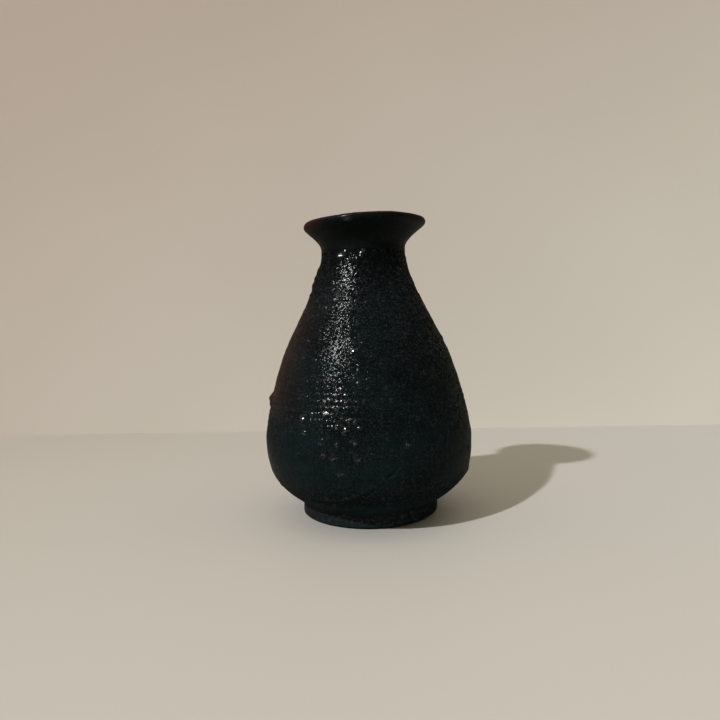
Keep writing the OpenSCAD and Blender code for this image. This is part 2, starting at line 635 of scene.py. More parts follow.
@dataclass(frozen=True)
class HandThrown:
    """Unevenness of the pot: what the hands and tools did to the wall and to its skin.

    Attributes:
        sizes: Sizes of the pot.
        wall_dabs: Places where the whole wall stands out or in.
        dabs: Lumps and pits in the skin of the coat.
        drops: Glassy drops on the skin.
        flake: Run of glaze that ends in a flat face.
        strokes: Ridges and gouges in the skin.
        speck_count: Number of small lumps of grog under the skin.
        speck_seed: Seed that places those lumps.
        ring_depth: How far the throwing rings under the shoulder go out and in.
        ring_pitch: Distance between them.
        fine_depth: How far the finer rings below them go out and in.
        fine_pitch: Distance between those.
        swell_depth: How far the slow swell all the way up goes out and in.
        swell_pitch: Distance between its crests.
        oval: How far the wall is out of round.
        lip_thick: How far the lip stands out on its thick side, to the right.
        waist_drawn: How far the flare is drawn in on the other side.
        lip_wave: How far the lip waves in and out.
        lip_shift: How far the lip is off centre.
    """

    sizes: PotSizes
    wall_dabs: tuple[Dab, ...] = (
        Dab(-172, 9.5, 30, 5.0, -0.55),
        Dab(-172, 19.0, 30, 9.0, -0.45),
        Dab(-176, 91.5, 9, 6.0, 0.60),
        Dab(-12, 15.5, 14, 4.0, 0.40),
        Dab(60, 52.0, 26, 14.0, -0.35),
        Dab(120, 74.0, 18, 10.0, 0.35),
    )
    dabs: tuple[Dab, ...] = (
        Dab(-171, 45.6, 2.4, 1.6, 1.20),
        Dab(-168, 43.6, 1.4, 1.0, 0.45),
        Dab(-174, 94.0, 1.8, 1.5, 0.40),
        Dab(-172, 90.8, 1.2, 0.9, 0.35),
        Dab(-173, 88.0, 1.6, 1.2, 0.45),
        Dab(-171, 84.5, 1.1, 0.9, 0.30),
        Dab(-166, 12.5, 1.4, 1.0, 0.35),
        Dab(-11, 67.0, 1.5, 1.2, 0.35),
        Dab(-12, 16.0, 1.8, 1.4, 0.35),
        Dab(-25, 26.3, 1.0, 1.7, -0.50),
        Dab(-60, 25.3, 1.2, 0.8, 0.35),
        Dab(-58, 32.3, 0.9, 0.7, 0.30),
        Dab(-93.6, 12.1, 1.3, 0.5, -0.40),
        Dab(-81.5, 12.2, 1.5, 0.55, -0.45),
        Dab(-48, 6.6, 4.0, 0.7, -0.30),
        Dab(35, 40.0, 1.6, 1.2, 0.55),
        Dab(82, 22.0, 1.4, 1.8, -0.45),
        Dab(140, 58.0, 1.8, 1.3, 0.50),
        Dab(104, 84.0, 1.2, 1.0, 0.40),
    )
    drops: tuple[Dab, ...] = (
        Dab(-114.6, 99.0, 0.8, 0.7, 0.40),
        Dab(-90.6, 99.4, 0.7, 0.7, 0.50),
        Dab(-98.1, 63.7, 0.8, 0.8, 0.45),
        Dab(-113.5, 42.8, 0.9, 0.7, 0.42),
        Dab(-127.3, 41.6, 0.7, 0.7, 0.42),
        Dab(-99.3, 41.2, 1.0, 0.6, 0.40),
        Dab(-106.4, 39.2, 1.0, 0.6, 0.40),
        Dab(-102.5, 37.4, 0.8, 0.6, 0.38),
        Dab(-124.8, 36.6, 0.8, 0.6, 0.40),
        Dab(-97.7, 34.0, 0.9, 0.6, 0.42),
        Dab(-114.6, 33.9, 0.8, 0.7, 0.45),
        Dab(-105.7, 33.1, 0.8, 0.6, 0.42),
        Dab(-71.3, 32.9, 0.8, 0.9, 0.45),
        Dab(-113.5, 29.6, 0.7, 0.6, 0.52),
        Dab(-107.9, 28.4, 0.8, 0.7, 0.60),
        Dab(-95.7, 28.5, 0.8, 0.7, 0.58),
        Dab(-104.8, 23.0, 0.8, 0.7, 0.65),
    )
    flake: Flake = Flake(-119.0, 98.0, 2.1, 0.95, 0.30, (0.240, 0.168))
    strokes: tuple[Stroke, ...] = (
        Stroke(((-127, 13.0), (-112, 12.9), (-106.3, 13.3), (-100.6, 14.7), (-95.7, 16.4), (-87.5, 19.0)),
               0.6, 0.45),
        Stroke(((-127, 11.8), (-112, 11.7), (-106.3, 12.1), (-100.6, 13.4), (-95.7, 15.1), (-88.5, 17.5)),
               0.6, -0.35),
        Stroke(((-81.8, 22.0), (-80.1, 22.6), (-78.6, 23.2)), 0.55, -0.60),
        Stroke(((-80.6, 21.3), (-79.1, 21.9), (-77.7, 22.5)), 0.5, 0.28),
        Stroke(((-58, 17.5), (-49, 17.4)), 0.5, -0.25),
        Stroke(((40, 14.0), (62, 16.5), (84, 15.0)), 0.8, 0.40),
        Stroke(((128, 31.0), (150, 30.2), (166, 31.5)), 0.5, -0.30),
    )
    speck_count: int = 620
    speck_seed: int = 7
    ring_depth: float = 0.135
    ring_pitch: float = 2.1
    fine_depth: float = 0.025
    fine_pitch: float = 1.3
    swell_depth: float = 0.04
    swell_pitch: float = 7.3
    oval: float = 0.10
    lip_thick: float = 0.70
    waist_drawn: float = 0.28
    lip_wave: float = 0.12
    lip_shift: float = 0.6

    def specks(self) -> list[Dab]:
        """Places the small lumps of grog under the skin.

        Returns:
            The lumps, closer together on the upper wall.
        """
        draw = np.random.default_rng(self.speck_seed)
        found = []
        while len(found) < self.speck_count:
            turn, height, keep = draw.uniform(-180, 180), draw.uniform(8, 99), draw.uniform()
            size, rise = draw.uniform(0.45, 1.0), draw.uniform(0.04, 0.18)
            if keep < 0.45 + 0.55 * fade(height, 30.0, 55.0):
                found.append(Dab(turn, height, size, size * draw.uniform(0.7, 1.1), rise))
        return found

    def rings(self, turn: np.ndarray, height: np.ndarray) -> np.ndarray:
        """How far the throwing rings lift each point, most of all under the shoulder.

        Args:
            turn: Direction of each point from the axis.
            height: Height of each point.

        Returns:
            The lift at each point.
        """
        drift = 0.5 * np.sin(np.radians(turn + 40)) + 0.3 * np.sin(np.radians(2 * turn - 25))
        strong = bell(height - 43.5, 9.0) * (0.6 + 0.4 * np.sin(np.radians(turn + 200)))
        fine = bell(height - 32.5, 4.0)
        strong *= 0.7 + 0.3 * np.sin(np.radians(23 * turn) + 1.9 * height)
        rings = self.ring_depth * strong * np.sin(math.tau * (height + drift) / self.ring_pitch)
        rings += self.fine_depth * fine * np.sin(math.tau * (height + 0.6 * drift) / self.fine_pitch)
        rings += self.swell_depth * np.sin(math.tau * (height + 2.0 * drift) / self.swell_pitch)
        return rings

    def wall_shift(self, turn: np.ndarray, height: np.ndarray, radius: np.ndarray) -> np.ndarray:
        """How far the whole wall stands out of its true round.

        Args:
            turn: Direction of each point from the axis.
            height: Height of each point.
            radius: Distance of each point from the axis.

        Returns:
            The shift outwards at each point, nothing at the table and at the throat.
        """
        throat = self.sizes.throat_z
        held = fade(height, 0.0, 6.0) * fade(height, throat, throat - 8.0)
        oval = self.oval * np.cos(np.radians(2 * turn - 40)) * fade(height, 10.0, 40.0)
        shift = oval + sum(dab.lift(turn, height, np.maximum(radius, 20.0)) for dab in self.wall_dabs)
        return shift * held

    def skin_lift(self, turn: np.ndarray, height: np.ndarray, radius: np.ndarray) -> np.ndarray:
        """How far the skin of the coat stands out of the wall.

        Args:
            turn: Direction of each point from the axis.
            height: Height of each point.
            radius: Distance of each point from the axis.

        Returns:
            The lift at each point.
        """
        lift = self.rings(turn, height)
        for mark in (*self.dabs, *self.drops, self.flake, *self.strokes, *self.specks()):
            lift += mark.lift(turn, height, radius)
        throat = self.sizes.throat_z
        return lift * fade(height, throat + 0.5, throat - 1.5)

    def drop_share(self, turn: np.ndarray, height: np.ndarray, radius: np.ndarray) -> np.ndarray:
        """Share of each point that a glassy drop covers, from 0 to 1.

        Args:
            turn: Direction of each point from the axis.
            height: Height of each point.
            radius: Distance of each point from the axis.

        Returns:
            The share at each point.
        """
        return sum(1.7 * drop.lift(turn, height, radius) / drop.rise for drop in self.drops).clip(0.0, 1.0)

    def crests(self, turn: np.ndarray, height: np.ndarray, radius: np.ndarray) -> np.ndarray:
        """Share of each point that lies on the crest of a ridge, from 0 to 1.

        Args:
            turn: Direction of each point from the axis.
            height: Height of each point.
            radius: Distance of each point from the axis.

        Returns:
            The share at each point.
        """
        ridges = [stroke for stroke in self.strokes if stroke.rise > 0.0]
        return sum(ridge.lift(turn, height, radius) / ridge.rise for ridge in ridges).clip(0.0, 1.0)

    def bend_wall(self, piece: bpy.types.Object) -> None:
        """Gives a piece the uneven round of the wall and its crooked upper edge.

        Args:
            piece: Spun piece of the body.
        """
        s = self.sizes
        frame = s.lean_frame
        places = corners(piece, frame)
        turn, radius = turn_and_radius(places)
        shift = self.wall_shift(turn, places[:, 2], radius) * fade(radius, 0.0, 20.0)
        grow = 1.0 + shift / np.maximum(radius, 1.0)
        places[:, 0] *= grow
        places[:, 1] *= grow
        joint = frame.inverted() @ s.mouth_frame
        normal = joint.to_3x3() @ Vector((0, 0, 1))
        slope = -(places[:, 0] * normal.x + places[:, 1] * normal.y) / normal.z
        places[:, 2] += slope * fade(places[:, 2], s.throat_z - 14.0, s.throat_z)
        set_corners(piece, frame, places)

    def mark_skin(self, piece: bpy.types.Object) -> None:
        """Raises the hand marks on the skin of a coat.

        Args:
            piece: Spun coat of the body.
        """
        frame = self.sizes.lean_frame
        places, normals, share = corners(piece, frame), outward(piece, frame), skin_share(piece)
        turn, radius = turn_and_radius(places)
        lift = np.zeros(len(places))
        seen = share > 0.0
        lift[seen] = self.skin_lift(turn[seen], places[seen, 2], radius[seen]) * share[seen]
        set_corners(piece, frame, places + normals * lift[:, None])

    def bend_mouth(self, piece: bpy.types.Object) -> None:
        """Gives a piece the off-centre flare and the lip that is thick and high on one side.

        Args:
            piece: Spun piece of the mouth.
        """
        s = self.sizes
        frame = s.mouth_frame
        places = corners(piece, frame)
        turn = np.arctan2(places[:, 1], places[:, 0])
        rise = fade(places[:, 2], 0.0, s.lip_h)
        right = np.clip(np.cos(turn), 0.0, 1.0) ** 2
        left = np.clip(-np.cos(turn), 0.0, 1.0) ** 2
        waist = np.sin(math.pi * np.clip(places[:, 2] / s.lip_h, 0.0, 1.0))
        grow = self.lip_thick * right * rise**2.9 - self.waist_drawn * left * ease(waist)
        grow += self.lip_wave * np.cos(3 * turn + 0.8) * rise
        places[:, 0] += grow * np.cos(turn) + self.lip_shift * rise
        places[:, 1] += grow * np.sin(turn)
        places[:, 2] += (0.04 + 0.12 * np.cos(turn) + 0.10 * np.sin(4 * turn + 0.5)) * rise**2
        set_corners(piece, frame, places)


class NodeSheet:
    """A node tree that is written node by node."""

    def __init__(self, tree: bpy.types.NodeTree) -> None:
        """Starts on an empty tree."""
        self.tree = tree
        tree.nodes.clear()

    def add(self, kind: str, feeds: dict[str | int, object] | None = None,
            **settings: object) -> bpy.types.Node:
        """Adds a node, sets it up and feeds its inputs.

        Args:
            kind: Type of the node.
            feeds: Inputs by name or number, each a value or a socket to link.
            settings: Properties of the node.

        Returns:
            The node.
        """
        node = self.tree.nodes.new(kind)
        for name, value in settings.items():
            setattr(node, name, value)
        for key, value in (feeds or {}).items():
            if isinstance(value, bpy.types.NodeSocket):
                self.tree.links.new(value, node.inputs[key])
            else:
                node.inputs[key].default_value = value
        return node

    def math(self, operation: str, *terms: object) -> bpy.types.NodeSocket:
        """Result of a sum on one, two or three terms, each a value or a socket."""
        node = self.add("ShaderNodeMath", dict(enumerate(terms)), operation=operation)
        return node.outputs[0]

    def span(self, value: bpy.types.NodeSocket, low: float, high: float,
             to_low: float = 0.0, to_high: float = 1.0) -> bpy.types.NodeSocket:
        """Value carried smoothly from one range to another, and held at its ends."""
        node = self.add("ShaderNodeMapRange", {0: value, 1: low, 2: high, 3: to_low, 4: to_high},
                        interpolation_type="SMOOTHSTEP")
        return node.outputs[0]

    def blend(self, share: object, first: object, second: object) -> bpy.types.NodeSocket:
        """Mixes two colours.

        Args:
            share: Share of the second colour, a value or a socket.
            first: First colour, or a socket.
            second: Second colour, or a socket.

        Returns:
            The mixed colour.
        """
        node = self.add("ShaderNodeMix", {0: share}, data_type="RGBA")
        for key, value in ((6, first), (7, second)):
            if isinstance(value, bpy.types.NodeSocket):
                self.tree.links.new(value, node.inputs[key])
            else:
                node.inputs[key].default_value = (*value, 1.0)
        return node.outputs[2]

    def in_mm(self) -> bpy.types.NodeSocket:
        """Place on the piece, in millimetres."""
        place = self.add("ShaderNodeTexCoord").outputs["Object"]
        node = self.add("ShaderNodeVectorMath", {0: place, 1: (1 / MM,) * 3}, operation="MULTIPLY")
        return node.outputs[0]

    def tone(self, tone: Tone) -> bpy.types.NodeSocket:
        """Tone that was kept on the piece."""
        node = self.add("ShaderNodeAttribute", attribute_name=tone.value, attribute_type="GEOMETRY")
        return node.outputs["Fac"]


def grit_group() -> bpy.types.NodeTree:
    """Shared grain of fired clay and glaze: rounded grains with a finer crust on them.

    Returns:
        Group with a place and a grain size going in, and the relief, the grains' tops and a number
        for each grain coming out.
    """
    tree = bpy.data.node_groups.new("grit", "ShaderNodeTree")
    for name, kind in (("Place", "NodeSocketVector"), ("Grain", "NodeSocketFloat")):
        tree.interface.new_socket(name, in_out="INPUT", socket_type=kind)
    for name in ("Relief", "Tops", "Number"):
        tree.interface.new_socket(name, in_out="OUTPUT", socket_type="NodeSocketFloat")
    sheet = NodeSheet(tree)
    given = sheet.add("NodeGroupInput")
    scale = sheet.math("DIVIDE", 1.0, given.outputs["Grain"])
    place = given.outputs["Place"]
    bent = sheet.add("ShaderNodeTexNoise", {"Vector": place, "Scale": scale, "Detail": 1.0})
    sway = sheet.math("MULTIPLY", given.outputs["Grain"], 0.3)
    shaken = sheet.add("ShaderNodeVectorMath", {0: bent.outputs["Color"], 1: sway, 2: place},
                       operation="MULTIPLY_ADD")
    cells = sheet.add("ShaderNodeTexVoronoi", {"Vector": shaken.outputs[0], "Scale": scale}, feature="F1")
    crust = sheet.add("ShaderNodeTexNoise", {"Vector": place, "Scale": sheet.math("MULTIPLY", scale, 2.2),
                                             "Detail": 3.0, "Roughness": 0.6})
    round_top = sheet.span(cells.outputs["Distance"], 0.75, 0.05)
    number = sheet.add("ShaderNodeSeparateColor", {0: cells.outputs["Color"]})
    tall = sheet.math("MULTIPLY", round_top, sheet.math("MULTIPLY_ADD", number.outputs[1], 1.1, 0.35))
    relief = sheet.math("MULTIPLY_ADD", crust.outputs["Fac"], 0.55, tall)
    sheet.add("NodeGroupOutput", {"Relief": relief, "Tops": round_top, "Number": number.outputs[0]})
    return tree


def drift_group() -> bpy.types.NodeTree:
    """Shared slow change of a finish over the pot, cloudy and drawn out round it by the wheel.

    Returns:
        Group with a place and a size going in, and a cloudy share and a banded share coming out.
    """
    tree = bpy.data.node_groups.new("drift", "ShaderNodeTree")
    for name, kind in (("Place", "NodeSocketVector"), ("Size", "NodeSocketFloat")):
        tree.interface.new_socket(name, in_out="INPUT", socket_type=kind)
    for name in ("Cloud", "Band"):
        tree.interface.new_socket(name, in_out="OUTPUT", socket_type="NodeSocketFloat")
    sheet = NodeSheet(tree)
    given = sheet.add("NodeGroupInput")
    scale = sheet.math("DIVIDE", 1.0, given.outputs["Size"])
    cloud = sheet.add("ShaderNodeTexNoise", {"Vector": given.outputs["Place"], "Scale": scale,
                                             "Detail": 3.0, "Roughness": 0.55})
    flat = sheet.add("ShaderNodeVectorMath", {0: given.outputs["Place"], 1: (0.12, 0.12, 1.6)},
                     operation="MULTIPLY")
    band = sheet.add("ShaderNodeTexNoise", {"Vector": flat.outputs[0], "Scale": scale, "Detail": 4.0,
                                            "Roughness": 0.6})
    sheet.add("NodeGroupOutput", {"Cloud": sheet.span(cloud.outputs["Fac"], 0.3, 0.7),
                                  "Band": sheet.span(band.outputs["Fac"], 0.3, 0.7)})
    return tree


@dataclass(frozen=True)
class Finishes:
    """Node groups that the finishes share."""

    grit: bpy.types.NodeTree
    drift: bpy.types.NodeTree

    def grains(self, sheet: NodeSheet, place: bpy.types.NodeSocket, size: float) -> bpy.types.Node:
        """Grains of a size, put into the node tree of a finish."""
        return sheet.add("ShaderNodeGroup", {"Place": place, "Grain": size}, node_tree=self.grit)

    def slow_change(self, sheet: NodeSheet, place: bpy.types.NodeSocket, size: float) -> bpy.types.Node:
        """Slow change of a size, put into the node tree of a finish."""
        return sheet.add("ShaderNodeGroup", {"Place": place, "Size": size}, node_tree=self.drift)


@dataclass(frozen=True)
class CoatGround:
    """What the colour, the gloss and the relief of a coat are all drawn from.

    Attributes:
        sheet: Node tree of the coat.
        grit: Its grains.
        fine: Finer grains between them.
        beads: Larger grains, of which a few stand up as beads.
        drift: Slow change of the coat over the pot.
        satin: Where it is smooth and satin.
        dry: Where it is dry and dull.
        thick: Where it lies thick.
        wet: Where it is glassy and smooth.
    """

    sheet: NodeSheet
    grit: bpy.types.Node
    fine: bpy.types.Node
    beads: bpy.types.Node
    drift: bpy.types.Node
    satin: bpy.types.NodeSocket
    dry: bpy.types.NodeSocket
    thick: bpy.types.NodeSocket
    wet: bpy.types.NodeSocket

    @classmethod
    def laid(cls, sheet: NodeSheet, shared: Finishes, grain: float) -> "CoatGround":
        """Lays the ground of a coat.

        Args:
            sheet: Empty node tree of the coat.
            shared: Node groups that the finishes share.
            grain: Size of its grains.

        Returns:
            The ground.
        """
        place = sheet.in_mm()
        shares = (1.0, FINE_SHARE, BEAD_SHARE)
        grit, fine, beads = (shared.grains(sheet, place, grain * share) for share in shares)
        drift = shared.slow_change(sheet, place, COAT_DRIFT)
        satin, dry, thick, wet = (sheet.tone(tone) for tone in (Tone.SATIN, Tone.DRY, Tone.THICK, Tone.WET))
        return cls(sheet, grit, fine, beads, drift, satin, dry, thick, wet)


@dataclass(frozen=True)
class Glaze:
    """A coat of glaze.

    Attributes:
        name: Name of the material.
        dark: Colour where the coat is thick.
        tint: Colour that it drifts to.
        rust_and_sheen: Colour where it breaks thin over the clay, also used on the body for a painted sheen
            of grazing light on the lamp side.
        grain: Size of its grains.
        relief: Depth of the grains.
        bead: Height of the few grains that stand up as beads.
        rough: Roughness of the coat between the grains.
        gloss: Level of its plain gloss.
        glass: Share of grains that have a glassy skin.
        skin: Strength of that skin.
        skin_rough: Roughness of that skin.
        fleck: Colour of the paler grains.
    """

    name: str
    dark: Colour
    tint: Colour
    rust_and_sheen: Colour
    grain: float
    relief: float
    bead: float
    rough: float
    gloss: float
    glass: float
    skin: float
    skin_rough: float
    fleck: Colour

    def material(self, shared: Finishes) -> bpy.types.Material:
        """Makes the material of the coat.

        Args:
            shared: Node groups that the finishes share.

        Returns:
            The material.
        """
        made = bpy.data.materials.new(self.name)
        made.use_nodes = True
        ground = CoatGround.laid(NodeSheet(made.node_tree), shared, self.grain)
        caps = self.bead_caps(ground)
        normal = self.relief_normal(ground, caps)
        shader = ground.sheet.add("ShaderNodeBsdfPrincipled", {
            "Base Color": self.colour(ground),
            "Roughness": self.roughness(ground),
            "Specular IOR Level": self.gloss,
            "Normal": normal,
            "Coat Weight": self.glassy_skin(ground, caps),
            "Coat Roughness": self.skin_rough,
            "Coat IOR": GLASS_IOR,
            "Coat Normal": normal,
        })
        ground.sheet.add("ShaderNodeOutputMaterial", {"Surface": shader.outputs[0]})
        return made

    def colour(self, ground: CoatGround) -> bpy.types.NodeSocket:
        """Colour of the coat, which drifts to its tint, breaks to rust and is flecked with pale grains; the
        rust colour also paints a sheen of grazing light where the body's tones put it on the lamp side.

        Args:
            ground: What the coat is drawn from.

        Returns:
            The colour.
        """
        sheet, fine = ground.sheet, ground.fine.outputs
        cloud, band = ground.drift.outputs["Cloud"], ground.drift.outputs["Band"]
        cool = sheet.math("MULTIPLY", sheet.math("SUBTRACT", 1.0, ground.thick),
                          sheet.math("MULTIPLY_ADD", cloud, 0.55, sheet.tone(Tone.COOL)))
        cool = sheet.math("MULTIPLY", cool, sheet.math("MULTIPLY_ADD", band, 0.7, 0.65))
        tone = sheet.blend(cool, self.dark, self.tint)
        tone.node.clamp_factor = False
        # Rust where the coat breaks thin; on the body's lamp side it also stands for a painted sheen of
        # grazing light.
        thin = sheet.math("MULTIPLY", sheet.tone(Tone.RUST_AND_SHEEN), sheet.span(fine["Relief"], 0.2, 1.3, 0.55, 1.0))
        thin = sheet.math("MULTIPLY", thin, sheet.math("MULTIPLY_ADD", cloud, 0.35, 0.75))
        tone = sheet.blend(thin, tone, self.rust_and_sheen)
        bare = sheet.math("SUBTRACT", 1.0, sheet.math("MAXIMUM", ground.satin, ground.thick))
        bare = sheet.math("MULTIPLY", bare, sheet.math("MULTIPLY_ADD", ground.dry, 2.0, 1.0))
        pale = sheet.math("MULTIPLY", sheet.span(fine["Number"], 0.5, 1.0, 0.0, 0.9),
                          sheet.span(fine["Tops"], 0.25, 0.8))
        return sheet.blend(sheet.math("MULTIPLY", pale, bare), tone, self.fleck)

    def roughness(self, ground: CoatGround) -> bpy.types.NodeSocket:
        """Roughness of the coat between its grains, lower where it is satin.

        Args:
            ground: What the coat is drawn from.

        Returns:
            The roughness.
        """
        sheet = ground.sheet
        rough = sheet.math("MULTIPLY_ADD", ground.satin, -0.75, self.rough)
        streaks = sheet.math("SUBTRACT", ground.drift.outputs["Band"], 0.5)
        return sheet.math("MULTIPLY_ADD", streaks, 0.10, rough)

    def bead_caps(self, ground: CoatGround) -> bpy.types.NodeSocket:
        """Caps of the few grains that stand up as beads, fewer where the coat is satin or dry.

        Args:
            ground: What the coat is drawn from.

        Returns:
            The height of the caps, as a share of the tallest bead.
        """
        sheet, beads = ground.sheet, ground.beads.outputs
        caps = sheet.math("MULTIPLY", sheet.span(beads["Number"], 0.76, 1.0, 0.0, 1.4), beads["Tops"])
        caps = sheet.math("MULTIPLY", caps, sheet.span(ground.satin, 0.1, 0.5, 1.0, 0.2))
        return sheet.math("MULTIPLY", caps, sheet.math("MULTIPLY_ADD", ground.dry, -0.5, 1.0))

    def glassy_skin(self, ground: CoatGround, caps: bpy.types.NodeSocket) -> bpy.types.NodeSocket:
        """Strength of the glassy skin on the grains, the beads and the wet places.

        Args:
            ground: What the coat is drawn from.
            caps: Caps of the beads.

        Returns:
            The strength.
        """
        sheet, fine = ground.sheet, ground.fine.outputs
        glassy = sheet.math("MULTIPLY", sheet.span(ground.grit.outputs["Tops"], 0.05, 0.5),
                            sheet.span(fine["Number"], 0.9 - self.glass, 1.1 - self.glass))
        glassy = sheet.math("MULTIPLY", glassy, sheet.span(fine["Tops"], 0.0, 0.35))
        glassy = sheet.math("MULTIPLY", glassy,
                            sheet.math("SUBTRACT", 1.0, sheet.math("MAXIMUM", ground.satin, ground.dry)))
        glassy = sheet.math("MAXIMUM", glassy, sheet.span(caps, 0.1, 0.3, 0.0, 0.65))
        glassy = sheet.math("MULTIPLY", glassy, sheet.tone(Tone.SPARK))
        return sheet.math("MAXIMUM", sheet.math("MULTIPLY", glassy, self.skin),
                          sheet.math("MULTIPLY", ground.wet, 0.2))

    def relief_normal(self, ground: CoatGround, caps: bpy.types.NodeSocket) -> bpy.types.NodeSocket:
        """Relief of the grains with a crisper one on it, shallow where the coat is satin, dry or wet.

        Args:
            ground: What the coat is drawn from.
            caps: Caps of the beads.

        Returns:
            The normal.
        """
        sheet = ground.sheet
        smooth = sheet.math("MULTIPLY", sheet.math("MAXIMUM", ground.satin, ground.dry), 0.6)
        depth = sheet.math("SUBTRACT", 1.0, sheet.math("MAXIMUM", smooth, ground.wet))
        height = sheet.math("MULTIPLY_ADD", caps, self.bead / self.relief,
                            sheet.math("MULTIPLY", ground.grit.outputs["Relief"], depth))
        coarse = sheet.add("ShaderNodeBump", {"Strength": 1.0, "Distance": self.relief * MM,
                                              "Height": height})
        crust = sheet.math("MULTIPLY", ground.fine.outputs["Relief"], depth)
        crisp = sheet.add("ShaderNodeBump", {"Strength": 1.0, "Distance": self.relief * 0.35 * MM,
                                             "Height": crust, "Normal": coarse.outputs[0]})
        return crisp.outputs[0]


@dataclass(frozen=True)
class Clay:
    """Fired clay or slip without glaze.

    Attributes:
        name: Name of the material.
        body: Main colour.
        toast: Colour of its toasted places.
        grog: Colour of the grog in it.
        grain: Size of the grog.
        relief: Depth of the grog.
    """

    name: str
    body: Colour
    toast: Colour
    grog: Colour
    grain: float
    relief: float

    def material(self, shared: Finishes) -> bpy.types.Material:
        """Makes the material of the clay.

        Args:
            shared: Node groups that the finishes share.

        Returns:
            The material.
        """
        made = bpy.data.materials.new(self.name)
        made.use_nodes = True
        sheet = NodeSheet(made.node_tree)
        place = sheet.in_mm()
        grit = shared.grains(sheet, place, self.grain)
        drift = shared.slow_change(sheet, place, CLAY_DRIFT)
        tone = sheet.blend(drift.outputs["Cloud"], self.body, self.toast)
        grog = sheet.math("MULTIPLY", sheet.span(grit.outputs["Number"], 0.86, 0.94, 0.0, 0.75),
                          sheet.span(grit.outputs["Tops"], 0.4, 0.8))
        tone = sheet.blend(grog, tone, self.grog)
        rough = sheet.math("MULTIPLY_ADD", drift.outputs["Band"], 0.14, 0.72)
        bump = sheet.add("ShaderNodeBump", {"Strength": 1.0, "Distance": self.relief * MM,
                                            "Height": grit.outputs["Relief"]})
        shader = sheet.add("ShaderNodeBsdfPrincipled", {"Base Color": tone, "Roughness": rough,
                                                        "Specular IOR Level": PLAIN_GLOSS,
                                                        "Normal": bump.outputs[0]})
        sheet.add("ShaderNodeOutputMaterial", {"Surface": shader.outputs[0]})
        return made


BODY_GLAZE = Glaze("body_glaze", dark=(0.0019, 0.0030, 0.0031), tint=(0.0039, 0.0090, 0.0099),
                   rust_and_sheen=(0.043, 0.0175, 0.0135), grain=0.84, relief=0.041, bead=0.18, rough=0.85,
                   gloss=0.018, glass=0.85, skin=0.165, skin_rough=0.20, fleck=(0.0230, 0.0290, 0.0305))
MOUTH_GLAZE = Glaze("mouth_glaze", dark=(0.0022, 0.0038, 0.0037), tint=(0.0026, 0.0050, 0.0053),
                    rust_and_sheen=(0.036, 0.0125, 0.0095), grain=1.0, relief=0.02, bead=0.0, rough=0.60, gloss=0.05,
                    glass=0.50, skin=0.03, skin_rough=0.17, fleck=(0.0036, 0.0046, 0.0044))
INNER_GLAZE = Glaze("inner_glaze", dark=(0.0050, 0.0048, 0.0045), tint=(0.0090, 0.0078, 0.0068),
                    rust_and_sheen=(0.040, 0.020, 0.015), grain=1.6, relief=0.03, bead=0.05, rough=0.40, gloss=0.20,
                    glass=0.40, skin=0.085, skin_rough=0.24, fleck=(0.0100, 0.0092, 0.0080))
FOOT_CLAY = Clay("foot_clay", body=(0.020, 0.0145, 0.012), toast=(0.033, 0.023, 0.018),
                 grog=(0.075, 0.055, 0.042), grain=0.8, relief=0.06)
BODY_CLAY = Clay("body_clay", body=(0.026, 0.0185, 0.015), toast=(0.042, 0.029, 0.022),
                 grog=(0.090, 0.067, 0.051), grain=0.9, relief=0.12)
SLIP = Clay("slip", body=(0.038, 0.026, 0.020), toast=(0.055, 0.038, 0.029),
            grog=(0.10, 0.075, 0.058), grain=0.5, relief=0.06)


def dress(piece: bpy.types.Object, material: bpy.types.Material, node: str) -> None:
    """Gives a piece its finish and its place in the frame.

    Args:
        piece: Finished piece.
        material: Its material.
        node: Solid that it stands for.
    """
    piece.data.materials.clear()
    piece.data.materials.append(material)
    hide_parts(node)
    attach(piece, "root")
    box = np.array(piece.bound_box)
    off = np.abs(np.array([box.min(axis=0), box.max(axis=0)]) - np.array(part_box(node))).max() / MM
    log.info("%s: %d faces, box within %.2f mm of its solid", piece.name, len(piece.data.polygons), off)


